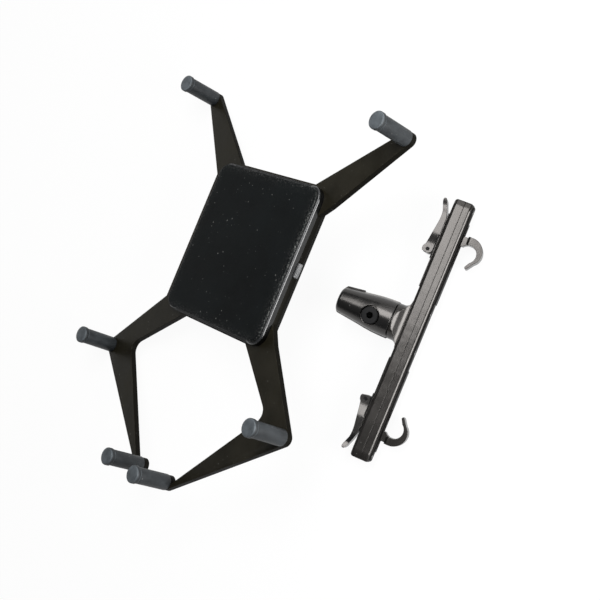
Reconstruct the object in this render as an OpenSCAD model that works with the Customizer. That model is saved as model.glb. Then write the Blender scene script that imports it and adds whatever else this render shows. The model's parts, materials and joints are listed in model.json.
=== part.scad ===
// Headrest tablet mount: a six-finger tablet frame and the headrest clamp that carries it.
// The frame lies on its back, tipped on its ball stud; the clamp lies on its side, tipped on its nose.
// The floor is z = 0, both long axes run along Y, and the origin is under the middle of the whole set.

/* [Tablet frame] */
// From the middle line to the four outer finger centres, across the frame
finger_u = 98.5; // [90:0.5:106]
// From the pad's middle up to the two top finger centres
finger_top_v = 95.5; // [86:0.5:105]
// From the pad's middle down to the two side finger centres
finger_side_v = 95.5; // [88:0.5:105]
// From the middle line to each bottom finger centre
finger_bottom_u = 16; // [13:0.5:20]
// From the pad's middle down to the bottom finger centres
finger_bottom_v = 156.5; // [150:0.5:166]
// Thickness of the arms and of the hub that joins them
arm_t = 4; // [3.4:0.1:6]
// Radius of each arm's rounded end, round its finger
arm_end_r = 5; // [4.4:0.1:5.4]
// Radius of the rounded inner corner at each elbow
elbow_r = 7; // [3:0.5:10]
// Half width of the hub on its plain side
hub_side_u = 61; // [58:0.5:64]
// Width of each upper arm's root along the hub's top edge, from its outer corner
top_root_w = 21.5; // [16:0.5:26]

/* [Fingers] */
// Radius of the peg that stands on each arm end
peg_r = 3.2; // [2.6:0.1:3.8]
// Outer radius of the rubber sleeve
sleeve_r = 5.5; // [5:0.1:6.5]
// Length of the rubber sleeve above the arm
sleeve_len = 28; // [24:0.5:34]
// How far the collar near the sleeve's tip stands proud
collar_proud = 0.35; // [0.2:0.05:0.6]
// Length of the collar at the sleeve's tip
collar_len = 3; // [2:0.25:5]
// Thickness of the sleeve's closed end
sleeve_cap_t = 1.6; // [1.2:0.1:2.4]
// Radial clearance between a peg and its sleeve
sleeve_gap = 0.05; // [0.02:0.01:0.1]

/* [Plate and pad] */
// Half width of the front plate across the frame
plate_half_u = 52.6; // [50:0.2:55]
// Half height of the front plate along the frame
plate_half_v = 53.4; // [50:0.2:55]
// Thickness of the front plate
plate_t = 4.5; // [3.5:0.1:6]
// Corner radius of the front plate
plate_corner_r = 9; // [6:0.5:12]
// Radius of the rounding round the plate's front edge
plate_edge_r = 1.4; // [0.8:0.1:2]
// Margin of the plate that shows round the grip pad
pad_margin = 1.4; // [0.8:0.1:2.5]
// Thickness of the grip pad
pad_t = 1.6; // [1:0.1:2.4]

/* [Back cover and stud] */
// Half width and half height of the square back cover
cover_half = 46; // [44:0.5:48]
// Depth of the back cover behind the hub
cover_t = 8; // [7.6:0.1:10]
// Wall of the back cover
cover_wall = 2; // [1.6:0.1:2.4]
// Distance of the cover screws from both middle lines
cover_screw_at = 38; // [36:0.5:39.5]
// Radius of the cover screws
cover_screw_r = 1.5; // [1.2:0.1:1.8]
// How far below the pad's middle the ball stud sits
stud_drop = 15; // [8:0.5:19]
// Half width of the sliding adapter plate's flange
adapter_half = 22; // [20:0.5:24]
// Thickness of the adapter plate's flange
flange_t = 2; // [1.6:0.1:2.2]
// Radius of the stud's ball
ball_r = 6.5; // [6:0.1:7]
// From the back of the arms to the ball's centre
ball_depth = 31.8; // [28:0.2:38]
// Radius of the stud's neck beside the ball
stud_neck_r = 3.4; // [2.8:0.1:4]
// Radius of the screw that holds the stud to its adapter plate
stud_screw_r = 2; // [1.6:0.1:2.2]

/* [Release button] */
// Width of the release button along the frame
button_w = 9.4; // [7:0.2:12]
// How far the button's end stands out beside the plate
button_out = 1.8; // [1.2:0.1:2.6]
// Travel of the button when it is pressed in
button_travel = 1.5; // [1:0.1:1.7]
// Clearance all round the button in its slot
button_gap = 0.25; // [0.1:0.05:0.4]
// Radius of the button's coil spring
spring_r = 1.35; // [1.1:0.05:1.5]
// Radius of the spring's wire
spring_wire_r = 0.22; // [0.15:0.01:0.3]
// Number of turns in the spring
spring_turns = 7; // [5:1:9]

/* [Clamp bar] */
// Length of the bar
bar_len = 174.5; // [172:0.5:184]
// Depth of the bar from the seam between its shells to its front face
front_x = 7; // [6.6:0.1:7.8]
// Depth of the bar from the seam between its shells to its back face
back_x = 6.2; // [5.8:0.1:6.4]
// Width of the bar across its faces
bar_w = 13; // [12.6:0.2:15]
// Wall of the two bar shells
bar_wall = 1.5; // [1.2:0.1:1.6]
// Rounding along the bar's long front edges
front_edge_r = 2.4; // [1.6:0.1:2.8]
// Rounding along the bar's long back edges
back_edge_r = 1.2; // [0.6:0.1:1.6]
// Rounding of the bar's four corners
bar_corner_r = 2; // [1:0.25:4]
// Height of the raised frames round the slots
rim_h = 0.5; // [0.3:0.1:0.6]
// Radius of the screws that join the two shells
shell_screw_r = 1.2; // [1:0.1:1.3]

/* [Hooks and levers] */
// From the bar's upper end back to the upper lever's pin
upper_pin_inset = 36; // [35:0.5:38]
// From the bar's lower end back to the lower lever's pin
lower_pin_inset = 36.4; // [36:0.5:38]
// From the seam between the shells to the lever pins
pin_height = 11.5; // [11.2:0.1:12.4]
// Radius of the lever pins
pin_r = 1; // [0.8:0.05:1.1]
// From the upper pin outward to the middle of its hook's shank
upper_crank = 12.4; // [10:0.1:15]
// From the lower pin outward to the middle of its hook's shank
lower_crank = 17.6; // [12:0.1:18]
// Travel of each hook carriage towards the bar's middle
travel_in = 14; // [8:0.5:14]
// Travel of each hook carriage towards the bar's end
travel_out = 6; // [3:0.5:6]
// Radius of the inside of the hook, round the headrest post
post_r = 5.8; // [4.8:0.1:6]
// From the seam back to the middle of the post
post_depth = 12.8; // [12.7:0.1:15]
// From the middle of the shank inward to the middle of the post
post_offset = 6.8; // [6:0.1:7.6]
// Angle of the hook's bend round the post
hook_sweep = 125; // [115:5:160]
// Length of the straight tail at the hook's tip
hook_tail = 5.8; // [1:0.2:7]
// Thickness of the hook at its root
hook_root_t = 5; // [4:0.1:5.6]
// How late the hook's wall thins out along its bend
hook_taper = 1.6; // [1:0.1:2]
// Thickness of the hook at its tip
hook_tip_t = 1.8; // [1.4:0.1:2.6]
// Width of the hook across its face
hook_w = 8; // [7:0.2:10]
// Width of the draw rod and of the shank across their faces
rod_w = 5; // [4.6:0.1:5.2]
// How far the upper front frame reaches past its slot towards the bar's middle
upper_rim_in = 6; // [4:0.5:12]
// How far the upper front frame reaches past its slot towards the bar's end
upper_rim_out = 15.6; // [8:0.2:18]
// How far the lower front frame reaches past its slot towards the bar's middle
lower_rim_in = 12; // [4:0.5:14]
// How far the lower front frame reaches past its slot towards the bar's end
lower_rim_out = 9.8; // [6:0.2:14]
// How far each back frame reaches past its slot towards the bar's middle
back_rim_in = 26; // [10:0.5:28]
// How far each back frame reaches past its slot towards the bar's end
back_rim_out = 1.8; // [1:0.2:6]
// Length of the rod's section along the bar
rod_len = 5; // [4.4:0.1:5.6]
// Length of the shank's section along the bar
shank_len = 6.4; // [5.6:0.1:7]
// Radius of the lever's round ear, round its pin
ear_r = 3.6; // [3.2:0.1:3.7]
// Thickness of each cheek of the lever
cheek_t = 2.4; // [2:0.1:3]
// Reach of the lever from its pin to its tip
lever_len = 34; // [30:0.5:38]
// How far the hook moves back when its lever is opened
draw = 0.8; // [0.5:0.1:1.2]
// Angle through which the lever opens
lever_open = 95; // [80:1:100]
// Running clearance between sliding faces
slide_gap = 0.12; // [0.08:0.01:0.2]
// Running clearance round pins
pin_gap = 0.05; // [0.02:0.01:0.1]

/* [Nose] */
// From the seam between the shells to the joint between neck and jaws
nose_joint = 14.5; // [13.5:0.1:16]
// From the seam between the shells to the nose's tip
nose_tip = 52; // [50:0.2:54]
// Radius of the far jaw at its wide end
nose_r = 12.4; // [11.6:0.1:12.8]
// Radius of the far jaw at the nose's tip
nose_tip_r = 8.2; // [8:0.1:9]
// How far the near jaw's edge is set in from the far jaw's edge
jaw_step = 0.5; // [0.3:0.05:0.8]
// How far the nose sits above the bar's middle
nose_up = 1.2; // [0:0.1:2]
// Open line between the two jaws
jaw_split = 0.4; // [0.2:0.05:0.8]
// Depth of the ball's centre behind the nose's tip
seat_depth = 3.7; // [3.2:0.1:4.4]
// Clearance round the ball in its seat
seat_gap = 0.1; // [0.05:0.01:0.3]
// From the seam between the shells to the clamp screw
jaw_screw_at = 28.4; // [27.6:0.1:29.2]
// How far the clamp screw sits below the nose's axis
jaw_screw_drop = 2.8; // [0:0.1:3.6]
// Radius of the recess round the clamp screw's head
recess_r = 6.4; // [5.4:0.1:6.6]
// Radius of the clamp screw's head
screw_head_r = 5.6; // [3.8:0.1:5.8]
// Radius of the clamp screw's shank
screw_r = 2; // [1.6:0.1:2.2]
// Radius of the neck's spigot inside the jaws
spigot_r = 5.6; // [5:0.1:6.2]

/* [Placing] */
// From the pad's middle across to the clamp bar's middle
clamp_across = 118; // [112:0.2:130]
// How far the clamp bar's middle lies below the pad's middle
clamp_below = 6.3; // [0:0.1:12]

/* [Hidden] */
$fn = 64;
eps = 0.01;
hole_gap = 0.2;
rail_gap = 0.2;
nub_gap = 0.4;
slot_play = 0.3;
sleeve_edge = 0.9;

// Frame: levels behind and in front of the arms' front face, which is n = 0
arm_back = -arm_t;
plate_front = plate_t;
cover_back = arm_back - cover_t;
pocket_roof = cover_back + 4.2;
flange_top = pocket_roof - rail_gap;
flange_back = flange_top - flange_t;
boss_half = adapter_half - 4;
ball_n = arm_back - ball_depth;
stud_base_n = cover_back - 1.2;
stud_head_r = 4;
cover_head_r = 3.1;
cover_head_t = 1.6;
stud_head_t = 1.9;

// Frame: the tilt at which the ball and the backs of two arm ends touch the floor together
frame_reach = finger_u + arm_end_r;
frame_tilt = atan2(ball_depth, frame_reach) + asin(ball_r / norm([ball_depth, frame_reach]));
frame_z = frame_reach * sin(frame_tilt) + arm_t * cos(frame_tilt);

// Frame: outline points of one half, mirrored for the other
top_corner = [hub_side_u, 44];
top_inner = [hub_side_u - top_root_w, 55];
low_corner = [hub_side_u, -47.4];
low_inner = [35.7, -54.5];
elbow_inner = [finger_u - 20.5, -finger_side_v + 7];
waist_half_v = 36;
finger_top = [finger_u, finger_top_v];
finger_side = [finger_u, -finger_side_v];
finger_bottom = [finger_bottom_u, -finger_bottom_v];

// Release button: where its parts lie across the frame
button_end = plate_half_u + button_out;
nub_u = 14.2;
nub_len = 2.8;
button_tail = nub_u - 2.6;
button_t = arm_t - 0.8;
spring_seat = 2;
nub_half_v = 3;

// Clamp: half sizes, with x towards the hooks, y along the bar and z up from the floor side
bar_y = bar_len / 2;
bar_z = bar_w / 2;
front_in = front_x - bar_wall;
back_in = back_x - bar_wall;
cavity_z = bar_z - bar_wall;
upper_pin_at = bar_y - upper_pin_inset;
lower_pin_at = bar_y - lower_pin_inset;

nose_chamfer = 0.5;
spigot_len = 5.4;
flange_len = 2;
flange_out = 1.6;
spigot_gap = 0.15;
lip_len = 13;
nut_r = 4;
nut_t = 3;
screw_seat_z = nose_r - 5.6;
nut_seat_z = nose_r - 5.6;

// Clamp: reach of a hook behind the bar's seam
hook_reach = post_depth + max([for (turn = [60 : 2 : 100]) (post_r + hook_wall(turn)) * sin(turn)]);

// Clamp: the tilt at which the backs of the hooks and the far jaw's wide end touch the floor
rest_run = nose_joint + slide_gap + nose_chamfer + hook_reach;
rest_rise = nose_r - hook_w / 2;
clamp_tilt = atan2(rest_rise, rest_run);
clamp_z = hook_reach * sin(clamp_tilt) + hook_w / 2 * cos(clamp_tilt);

// Clamp: the stack through the front wall under a lever
rim_front = front_x + rim_h;
rim_half_z = bar_z - 1.5;
cam_plate_t = 0.6;
cam_plate_half_z = rim_half_z - 0.1;
cam_plate_front = rim_front + slide_gap / 2 + cam_plate_t;
cam_high = pin_height - cam_plate_front - slide_gap / 2;
cam_rate = draw / lever_open;
rod_gap = 0.2;
bush_wall = 0.9;
bush_half_y = rod_len / 2 + rod_gap + bush_wall;
bush_half_z = rod_w / 2 + rod_gap + bush_wall;
carriage_floor_t = 1.3;
crank_front = front_in - slide_gap - carriage_floor_t - slide_gap;
crank_t = 2.2;
eye_r = 2.4;
hook_root_len = 3.2;
lever_w = rod_w + 2 * slide_gap * 2 + 2 * cheek_t;
cheek_in = lever_w / 2 - cheek_t;

// Clamp: shell screw places along the bar
outer_screw_at = bar_y - 4.1;
inner_screw_at = 13;
shell_boss_r = 2.4;
shell_head_r = 2;
shell_head_sunk = 1.4;

// Placing: shifts that put the origin under the middle of the whole set
sleeve_reach = sleeve_r + collar_proud;
left_reach = (finger_u + sleeve_reach) * cos(frame_tilt) + (sleeve_len - sleeve_edge) * sin(frame_tilt);
right_reach = clamp_across + hook_reach * cos(clamp_tilt) + hook_w / 2 * sin(clamp_tilt);
shift_x = (left_reach - right_reach) / 2;
shift_y = (finger_bottom_v - finger_top_v) / 2;

// A point on a circle where the line from an outside point touches it, on the chosen side
function tangent_point(from, middle, r, side) =
    let (run = middle - from, far = norm(run), turn = acos(r / far), base = atan2(-run[1], -run[0]))
    middle + r * [cos(base + side * turn), sin(base + side * turn)];

// Points of a round corner of the given radius between three outline points
function round_corner(before, corner, after, r, steps = 8) =
    let (u1 = (before - corner) / norm(before - corner),
         u2 = (after - corner) / norm(after - corner),
         half = acos(u1 * u2) / 2,
         mid = (u1 + u2) / norm(u1 + u2),
         middle = corner + mid * r / sin(half),
         a1 = atan2((corner + u1 * r / tan(half) - middle)[1], (corner + u1 * r / tan(half) - middle)[0]),
         a2 = atan2((corner + u2 * r / tan(half) - middle)[1], (corner + u2 * r / tan(half) - middle)[0]),
         turn = (a2 - a1 + 540) % 360 - 180)
    [for (i = [0 : steps]) middle + r * [cos(a1 + turn * i / steps), sin(a1 + turn * i / steps)]];

// Thickness of the hook's wall after a turn round the post
function hook_wall(turn) = hook_root_t + (hook_tip_t - hook_root_t) * pow(turn / hook_sweep, hook_taper);

// Points of an ordinary arc
function arc(middle, r, from, to, steps = 10) =
    [for (i = [0 : steps]) let (turn = from + (to - from) * i / steps) middle + r * [cos(turn), sin(turn)]];

module in_frame() {
    translate([shift_x, shift_y, frame_z]) rotate([0, -frame_tilt, 0]) children();
}

module in_clamp() {
    translate([clamp_across + shift_x, shift_y - clamp_below, clamp_z]) rotate([0, clamp_tilt, 0]) children();
}

module both_sides() {
    children();
    mirror([1, 0, 0]) children();
}

// A rectangle with round corners, its middle at the origin
module round_rect(half_x, half_y, r) {
    square([2 * half_x, 2 * (half_y - r)], center = true);
    square([2 * (half_x - r), 2 * half_y], center = true);
    for (sx = [-1, 1], sy = [-1, 1]) translate([sx * (half_x - r), sy * (half_y - r)]) circle(r);
}

// Tablet frame

module arm_top_outline() {
    polygon([top_inner, tangent_point(top_inner, finger_top, arm_end_r, -1),
             tangent_point(top_corner, finger_top, arm_end_r, 1), top_corner]);
    translate(finger_top) circle(arm_end_r);
}

module arm_low_outline() {
    reach = finger_bottom - finger_side;
    side_step = arm_end_r * [-reach[1], reach[0]] / norm(reach);
    inner_end = tangent_point(elbow_inner, finger_bottom, arm_end_r - 1.6, -1);
    polygon(concat([low_inner],
                   round_corner(low_inner, elbow_inner, inner_end, elbow_r),
                   [inner_end, finger_bottom,
                    finger_bottom + side_step, finger_side + side_step,
                    tangent_point(low_corner, finger_side, arm_end_r, -1), low_corner]));
    translate(finger_side) circle(arm_end_r);
    translate(finger_bottom) circle(arm_end_r);
}

module hub_outline() {
    polygon([[-top_corner[0], top_corner[1]], [-low_corner[0], low_corner[1]],
             [-low_inner[0], low_inner[1]], low_inner, low_corner,
             [plate_half_u, -waist_half_v], [plate_half_u, waist_half_v], top_corner,
             top_inner, [-top_inner[0], top_inner[1]]]);
}

module at_fingers() {
    for (p = [finger_top, finger_side, finger_bottom]) both_sides() translate([p[0], p[1], 0]) children();
}

module at_cover_screws() {
    for (su = [-1, 1], sv = [-1, 1]) translate([su * cover_screw_at, sv * cover_screw_at, 0]) children();
}

module spider_frame() {
    peg_len = sleeve_len - sleeve_cap_t - 0.3;
    color([0.14, 0.13, 0.11]) in_frame() {
        difference() {
            union() {
                translate([0, 0, arm_back]) linear_extrude(arm_t) {
                    hub_outline();
                    both_sides() arm_top_outline();
                    both_sides() arm_low_outline();
                }
                at_fingers() translate([0, 0, -eps]) cylinder(r = peg_r, h = peg_len + eps);
            }
            translate([button_tail - button_travel - button_gap, -button_w / 2 - button_gap, arm_back - 1])
                cube([plate_half_u, button_w + 2 * button_gap, arm_t + 2]);
            translate([spring_seat, -spring_r - 0.3, arm_back + 0.5])
                cube([button_tail, 2 * spring_r + 0.6, arm_t]);
            at_cover_screws() translate([0, 0, arm_back - 1])
                cylinder(r = cover_screw_r + hole_gap, h = arm_t + 2);
        }
    }
}

module front_plate() {
    color([0.22, 0.23, 0.24]) in_frame() difference() {
        union() {
            linear_extrude(plate_t - plate_edge_r) round_rect(plate_half_u, plate_half_v, plate_corner_r);
            plate_rounding();
        }
        at_cover_screws() translate([0, 0, -1]) cylinder(r = cover_screw_r + pin_gap, h = 1 + plate_t - 1.2);
    }
}

// The plate's front layer, its edge rounded by four quarter rods and four quarter rings
module plate_rounding() {
    low = plate_t - plate_edge_r;
    translate([0, 0, low]) linear_extrude(plate_edge_r)
        round_rect(plate_half_u - plate_edge_r, plate_half_v - plate_edge_r, plate_corner_r - plate_edge_r);
    intersection() {
        translate([0, 0, low]) linear_extrude(plate_edge_r)
            square([2 * plate_half_u, 2 * plate_half_v], center = true);
        union() {
            for (su = [-1, 1])
                translate([su * (plate_half_u - plate_edge_r), plate_half_v - plate_corner_r, low])
                    rotate([90, 0, 0]) cylinder(r = plate_edge_r, h = 2 * (plate_half_v - plate_corner_r));
            for (sv = [-1, 1])
                translate([plate_corner_r - plate_half_u, sv * (plate_half_v - plate_edge_r), low])
                    rotate([0, 90, 0]) cylinder(r = plate_edge_r, h = 2 * (plate_half_u - plate_corner_r));
            for (su = [-1, 1], sv = [-1, 1])
                translate([su * (plate_half_u - plate_corner_r), sv * (plate_half_v - plate_corner_r), low])
                    rotate_extrude() translate([plate_corner_r - plate_edge_r, 0]) circle(plate_edge_r);
        }
    }
}

module grip_pad() {
    color([0.10, 0.12, 0.14]) in_frame() translate([0, 0, plate_front]) linear_extrude(pad_t)
        round_rect(plate_half_u - pad_margin, plate_half_v - pad_margin, plate_corner_r - pad_margin);
}

module finger_sleeve(place) {
    color([0.32, 0.35, 0.37]) in_frame() translate([place[0], place[1], 0]) difference() {
        rotate_extrude() polygon(concat([[0, 0], [sleeve_r - 0.4, 0], [sleeve_r, 0.4],
                                         [sleeve_r, sleeve_len - collar_len - 0.5],
                                         [sleeve_reach, sleeve_len - collar_len],
                                         [sleeve_reach, sleeve_len - sleeve_edge]],
                                        [[sleeve_reach - sleeve_edge, sleeve_len], [0, sleeve_len]]));
        translate([0, 0, -1]) cylinder(r = peg_r + sleeve_gap, h = sleeve_len - sleeve_cap_t + 1);
    }
}

module back_cover() {
    inner = cover_half - cover_wall;
    pocket_len = cover_half + 1 + adapter_half - stud_drop + rail_gap;
    housing = adapter_half + rail_gap + cover_wall;
    housing_top = adapter_half - stud_drop + rail_gap + cover_wall;
    color([0.12, 0.12, 0.12]) in_frame() difference() {
        union() {
            difference() {
                translate([0, 0, cover_back]) linear_extrude(cover_t) round_rect(cover_half, cover_half, 6);
                translate([0, 0, cover_back + cover_wall]) linear_extrude(cover_t)
                    round_rect(inner, inner, 4);
            }
            at_cover_screws() translate([0, 0, cover_back]) cylinder(r = 5, h = cover_t);
            translate([-housing, -inner - eps, cover_back])
                cube([2 * housing, inner + housing_top + eps, 6]);
        }
        translate([-adapter_half - rail_gap, -cover_half - 1, flange_back - rail_gap])
            cube([2 * (adapter_half + rail_gap), pocket_len, pocket_roof - flange_back + rail_gap]);
        translate([-boss_half - rail_gap, -cover_half - 1, cover_back - 1])
            cube([2 * (boss_half + rail_gap), pocket_len, cover_t / 2]);
        translate([nub_u - button_travel - nub_gap, -nub_half_v - nub_gap, flange_back])
            cube([nub_len + button_travel + 2 * nub_gap, 2 * (nub_half_v + nub_gap), cover_t]);
        at_cover_screws() {
            translate([0, 0, cover_back - 1]) cylinder(r = cover_screw_r + hole_gap, h = cover_t + 2);
            translate([0, 0, cover_back - eps])
                cylinder(r1 = cover_head_r + hole_gap, r2 = cover_screw_r + hole_gap, h = cover_head_t + 0.1);
        }
    }
}

module cover_screws() {
    color([0.35, 0.35, 0.36]) in_frame() at_cover_screws() difference() {
        union() {
            translate([0, 0, cover_back]) cylinder(r1 = cover_head_r, r2 = cover_screw_r, h = cover_head_t);
            translate([0, 0, cover_back]) cylinder(r = cover_screw_r, h = cover_t + arm_t + plate_t - 1.6);
        }
        for (turn = [0, 90]) rotate(turn) translate([-1.7, -0.35, cover_back - eps]) cube([3.4, 0.7, 1]);
    }
}

module adapter_plate() {
    low_v = -stud_drop - adapter_half;
    channel = nub_u - button_travel - nub_gap;
    color([0.15, 0.15, 0.16]) in_frame() difference() {
        union() {
            translate([-adapter_half, low_v, flange_back])
                cube([2 * adapter_half, 2 * adapter_half, flange_t]);
            translate([-boss_half, low_v, stud_base_n])
                cube([2 * boss_half, 2 * adapter_half, flange_back - stud_base_n + eps]);
        }
        translate([channel, -nub_half_v - nub_gap, flange_top - 1.2])
            cube([nub_len + button_travel + 2 * nub_gap, 2 * (nub_half_v + nub_gap), 2]);
        translate([channel - 2, -nub_half_v - nub_gap, flange_top - 1.2])
            cube([2 + eps, adapter_half + 1, 2]);
        translate([0, -stud_drop, stud_base_n - 1]) cylinder(r = stud_screw_r + hole_gap, h = 12);
        translate([0, -stud_drop, flange_top - stud_head_t]) cylinder(r = stud_head_r + hole_gap, h = 3);
    }
}

module ball_stud() {
    base_r = 9;
    base_h = 3.6;
    color([0.30, 0.30, 0.31]) in_frame() translate([0, -stud_drop, 0]) difference() {
        union() {
            translate([0, 0, ball_n]) sphere(ball_r);
            translate([0, 0, stud_base_n - base_h]) cylinder(r = base_r, h = base_h);
            translate([0, 0, stud_base_n - base_h - 4])
                cylinder(r1 = stud_neck_r, r2 = base_r - 2, h = 4 + eps);
            translate([0, 0, ball_n]) cylinder(r = stud_neck_r, h = stud_base_n - base_h - ball_n - 3);
        }
        translate([0, 0, stud_base_n - 10]) cylinder(r = stud_screw_r + pin_gap, h = 12);
    }
}

module stud_screw() {
    color([0.5, 0.5, 0.5]) in_frame() translate([0, -stud_drop, 0]) difference() {
        union() {
            translate([0, 0, flange_top - stud_head_t])
                cylinder(r = stud_head_r, h = stud_head_t - rail_gap / 2);
            translate([0, 0, stud_base_n - 9])
                cylinder(r = stud_screw_r, h = 9 + flange_top - stud_head_t - stud_base_n + eps);
        }
        for (turn = [0, 90]) rotate(turn) translate([-2, -0.4, flange_top - 1.1]) cube([4, 0.8, 2]);
    }
}

module release_button() {
    mid_n = arm_back / 2;
    color([0.45, 0.46, 0.47]) in_frame() {
        translate([button_tail, -button_w / 2, mid_n - button_t / 2])
            cube([button_end - 0.6 - button_tail, button_w, button_t]);
        translate([button_end - 0.6 - eps, -button_w / 2 + 0.4, mid_n - button_t / 2 + 0.4])
            cube([0.6 + eps, button_w - 0.8, button_t - 0.8]);
        translate([nub_u, -nub_half_v, flange_top - 1])
            cube([nub_len, 2 * nub_half_v, mid_n - flange_top + 1]);
    }
}

// The wire of the spring: rings of points along a helix that lies across the frame
module button_spring() {
    sides = 8;
    rings = spring_turns * 12;
    start_u = spring_seat + spring_wire_r + 0.05;
    run = button_tail - button_travel - spring_seat - 2 * spring_wire_r - 0.1;
    coil_r = spring_r - spring_wire_r;
    spine = [for (i = [0 : rings]) [start_u + run * i / rings,
                                    coil_r * cos(360 * spring_turns * i / rings),
                                    arm_back / 2 + coil_r * sin(360 * spring_turns * i / rings)]];
    points = [for (i = [0 : rings], k = [0 : sides - 1])
              let (around = 360 * spring_turns * i / rings, turn = 360 * k / sides)
              spine[i] + spring_wire_r * (cos(turn) * [0, cos(around), sin(around)] + sin(turn) * [1, 0, 0])];
    walls = [for (i = [0 : rings - 1], k = [0 : sides - 1])
             [i * sides + k, i * sides + (k + 1) % sides,
              (i + 1) * sides + (k + 1) % sides, (i + 1) * sides + k]];
    ends = [[for (k = [sides - 1 : -1 : 0]) k], [for (k = [0 : sides - 1]) rings * sides + k]];
    color([0.7, 0.7, 0.72]) in_frame() polyhedron(points, concat(walls, ends));
}

// Clamp bar

module bar_section() {
    polygon(concat(arc([back_x - back_edge_r, bar_z - back_edge_r], back_edge_r, 0, 90),
                   arc([front_edge_r - front_x, bar_z - front_edge_r], front_edge_r, 90, 180),
                   arc([front_edge_r - front_x, front_edge_r - bar_z], front_edge_r, 180, 270),
                   arc([back_x - back_edge_r, back_edge_r - bar_z], back_edge_r, 270, 360)));
}

module bar_body() {
    intersection() {
        rotate([90, 0, 0]) linear_extrude(bar_len, center = true) bar_section();
        translate([(back_x - front_x) / 2, 0, 0]) linear_extrude(bar_w, center = true)
            round_rect((back_x + front_x) / 2, bar_y, bar_corner_r);
    }
}

// The V-shaped line that runs round the bar where the two shells meet
module seam_groove() {
    side = 0.32;
    for (s = [-1, 1]) {
        translate([0, 0, s * bar_z]) rotate([0, 45, 0]) cube([side, bar_len + 2, side], center = true);
        translate([0, s * bar_y, 0]) rotate([0, 0, 45]) cube([side, side, bar_w + 2], center = true);
    }
}

// Where the slots begin and end along the bar, outward from its middle
function front_slot(pin_at) = [pin_at - travel_in - bush_half_y - slot_play,
                               pin_at + travel_out + bush_half_y + slot_play];
function back_slot(pin_at, crank) = [pin_at + crank - travel_in - shank_len / 2 - slot_play,
                                     pin_at + crank + travel_out + shank_len / 2 + slot_play];

// A block between two places along the bar, mirrored to the lower end where side is -1
module along_bar(side, span, from_x, to_x, half_z) {
    mirror([0, side > 0 ? 0 : 1, 0]) translate([from_x, span[0], -half_z])
        cube([to_x - from_x, span[1] - span[0], 2 * half_z]);
}

module front_frames() {
    upper_span = front_slot(upper_pin_at) + [-upper_rim_in, upper_rim_out];
    lower_span = front_slot(lower_pin_at) + [-lower_rim_in, lower_rim_out];
    along_bar(1, upper_span, -rim_front, -front_x + eps, rim_half_z);
    along_bar(-1, lower_span, -rim_front, -front_x + eps, rim_half_z);
}

module back_frames() {
    for (end = [[1, upper_pin_at, upper_crank], [-1, lower_pin_at, lower_crank]]) {
        span = back_slot(end[1], end[2]) + [-back_rim_in, back_rim_out];
        along_bar(end[0], span, back_x - eps, back_x + rim_h, rim_half_z);
    }
}

module front_slots() {
    for (end = [[1, upper_pin_at], [-1, lower_pin_at]])
        along_bar(end[0], front_slot(end[1]), -rim_front - 1, 0.5 - front_in, bush_half_z + slide_gap);
}

module back_slots() {
    for (end = [[1, upper_pin_at, upper_crank], [-1, lower_pin_at, lower_crank]])
        along_bar(end[0], back_slot(end[1], end[2]), back_in - 0.5, back_x + rim_h + 1, rod_w / 2 + rod_gap);
}

module at_shell_screws() {
    for (y = [-outer_screw_at, -inner_screw_at, inner_screw_at, outer_screw_at]) translate([0, y, 0])
        rotate([0, 90, 0]) children();
}

// The neck that carries the jaws: a flared collar that narrows smoothly to the bar's width at its foot
module neck() {
    flare = 4.6;
    neck_r = nose_r - jaw_step;
    foot_z = bar_z - 0.8;
    slope = [for (i = [0 : 10]) [-front_x + 1 - i / 10 * (nose_joint - front_x + 1),
                                 foot_z + (neck_r - foot_z) * (1 - cos(18 * i)) / 2]];
    intersection() {
        translate([0, nose_up, 0]) rotate([0, -90, 0]) rotate_extrude()
            polygon(concat([[0, 0], [neck_r + flare, 0], [neck_r + flare, front_x]],
                           arc([neck_r + flare, front_x + flare], flare, 270, 180),
                           [[neck_r, nose_joint - 0.4], [neck_r - 0.4, nose_joint], [0, nose_joint]]));
        rotate([90, 0, 0]) linear_extrude(80, center = true)
            polygon(concat([[0, foot_z]], slope, [for (i = [10 : -1 : 0]) [slope[i][0], -slope[i][1]]],
                           [[0, -foot_z]]));
    }
}

// The spigot on which the jaws turn, with a flange that keeps them on
module spigot() {
    translate([-nose_joint + eps, nose_up, 0]) rotate([0, -90, 0]) {
        cylinder(r = spigot_r, h = spigot_len);
        translate([0, 0, spigot_len - flange_len]) cylinder(r = spigot_r + flange_out, h = flange_len);
    }
}

module bar_front_shell() {
    color([0.16, 0.16, 0.17]) in_clamp() difference() {
        union() {
            difference() {
                union() {
                    bar_body();
                    front_frames();
                    neck();
                }
                translate([-front_in, bar_wall - bar_y, -cavity_z])
                    cube([front_in + 1, bar_len - 2 * bar_wall, 2 * cavity_z]);
                seam_groove();
            }
            at_shell_screws() translate([0, 0, -front_in - eps])
                cylinder(r = shell_boss_r, h = front_in + eps);
            spigot();
        }
        translate([0, -bar_y - 1, -bar_z - 5]) cube([back_x + 5, bar_len + 2, bar_w + 10]);
        front_slots();
        at_shell_screws() translate([0, 0, -front_in])
            cylinder(r = shell_screw_r + pin_gap, h = front_in + 1);
        translate([eps, nose_up, 0]) rotate([0, -90, 0]) cylinder(r = spigot_r - 2.2, h = nose_joint + 2);
    }
}

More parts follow.
